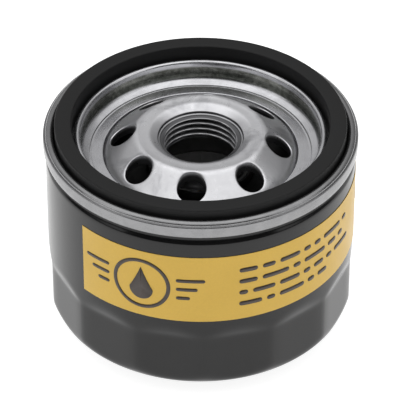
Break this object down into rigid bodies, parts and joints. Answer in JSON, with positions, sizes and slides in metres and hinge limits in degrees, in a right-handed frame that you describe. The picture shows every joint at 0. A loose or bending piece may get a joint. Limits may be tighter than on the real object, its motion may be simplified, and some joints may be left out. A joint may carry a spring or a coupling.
{
  "type": "oil filter",
  "caption": "Short spin-on oil filter for a small engine: fluted black can, domed threaded base plate with inlet holes, rubber gasket, pleated element, anti-drain and bypass valves.",
  "frame": {"origin": "on the filter's axis, at the flat pad of the can's closed end", "axes": "+Z along the axis, from the closed end towards the gasket and the threaded hub; -Y towards the front of the label"},
  "size_m": [0.0762, 0.0762, 0.057],
  "materials": {
    "black_paint": "semi-gloss black stoved paint",
    "galvanised_steel": "bright galvanised sheet with light spangle and handling marks",
    "plated_steel": "satin zinc-plated pressed steel",
    "spring_steel": "oiled spring wire",
    "nitrile_rubber": "matte black nitrile with a faint oil sheen",
    "valve_rubber": "smooth black moulded rubber",
    "seal_compound": "dried lining compound",
    "yellow_print": null,
    "filter_paper": "resin-treated cellulose paper",
    "potting": "cured plastisol adhesive"
  },
  "bodies": {
    "housing": {"can": "black_paint", "seaming_lid": "galvanised_steel", "base_plate": "plated_steel", "gasket": "nitrile_rubber", "label": "yellow_print", "seam_compound": "seal_compound", "top_end_cap": "plated_steel", "bottom_end_cap": "plated_steel", "centre_tube": "plated_steel", "filter_media": "filter_paper", "media_clip": "plated_steel", "top_potting": "potting", "bottom_potting": "potting", "bypass_seat": "plated_steel", "bypass_spring": "spring_steel", "bypass_cage": "plated_steel", "element_spring": "spring_steel"},
    "bypass_poppet": {"bypass_disc": "plated_steel", "bypass_seal": "valve_rubber"},
    "drain_flap": {"anti_drain_valve": "valve_rubber"}
  },
  "joints": [
    {"name": "bypass_lift", "type": "slide", "parent": "housing", "child": "bypass_poppet", "axis": [0, 0, 1], "range_m": [0, 0.0025], "stiffness_N_per_m": 800, "springref_m": -0.006, "deforming": ["bypass_spring"]},
    {"name": "anti_drain_lip", "type": "slide", "parent": "housing", "child": "drain_flap", "axis": [0, 0, -1], "range_m": [0, 0.0012], "stiffness_N_per_m": 120, "springref_m": -0.004}
  ]
}
